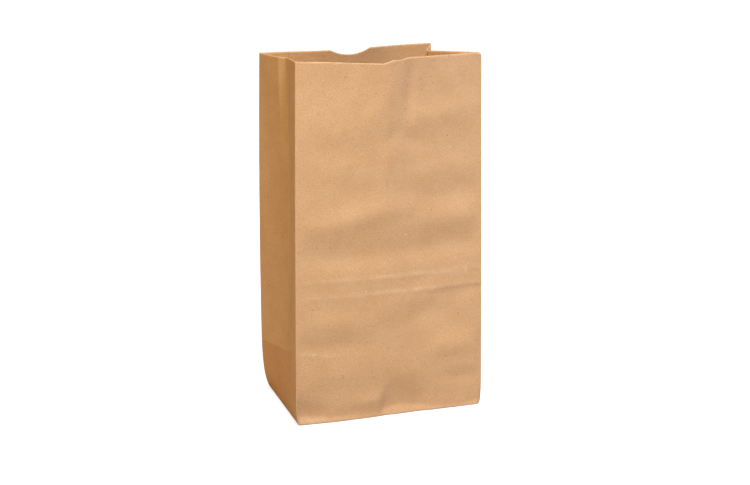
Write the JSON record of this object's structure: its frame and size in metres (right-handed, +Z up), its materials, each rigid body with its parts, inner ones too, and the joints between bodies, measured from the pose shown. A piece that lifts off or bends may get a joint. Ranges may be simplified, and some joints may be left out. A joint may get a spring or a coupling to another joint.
{
  "type": "paper lunch bag",
  "caption": "Brown kraft paper lunch bag standing open, with V side gussets, a square pasted bottom, a saw-toothed rim and a thumb notch in the rear panel.",
  "frame": {"origin": "middle of the underside of the square bottom", "axes": "+Z up through the mouth, -Y towards the plain front panel, +X to the right along the front panel"},
  "size_m": [0.1588, 0.1036, 0.2832],
  "materials": {
    "kraft_paper": "matte"
  },
  "bodies": {
    "root": {"paper_bag": "kraft_paper"}
  },
  "joints": []
}
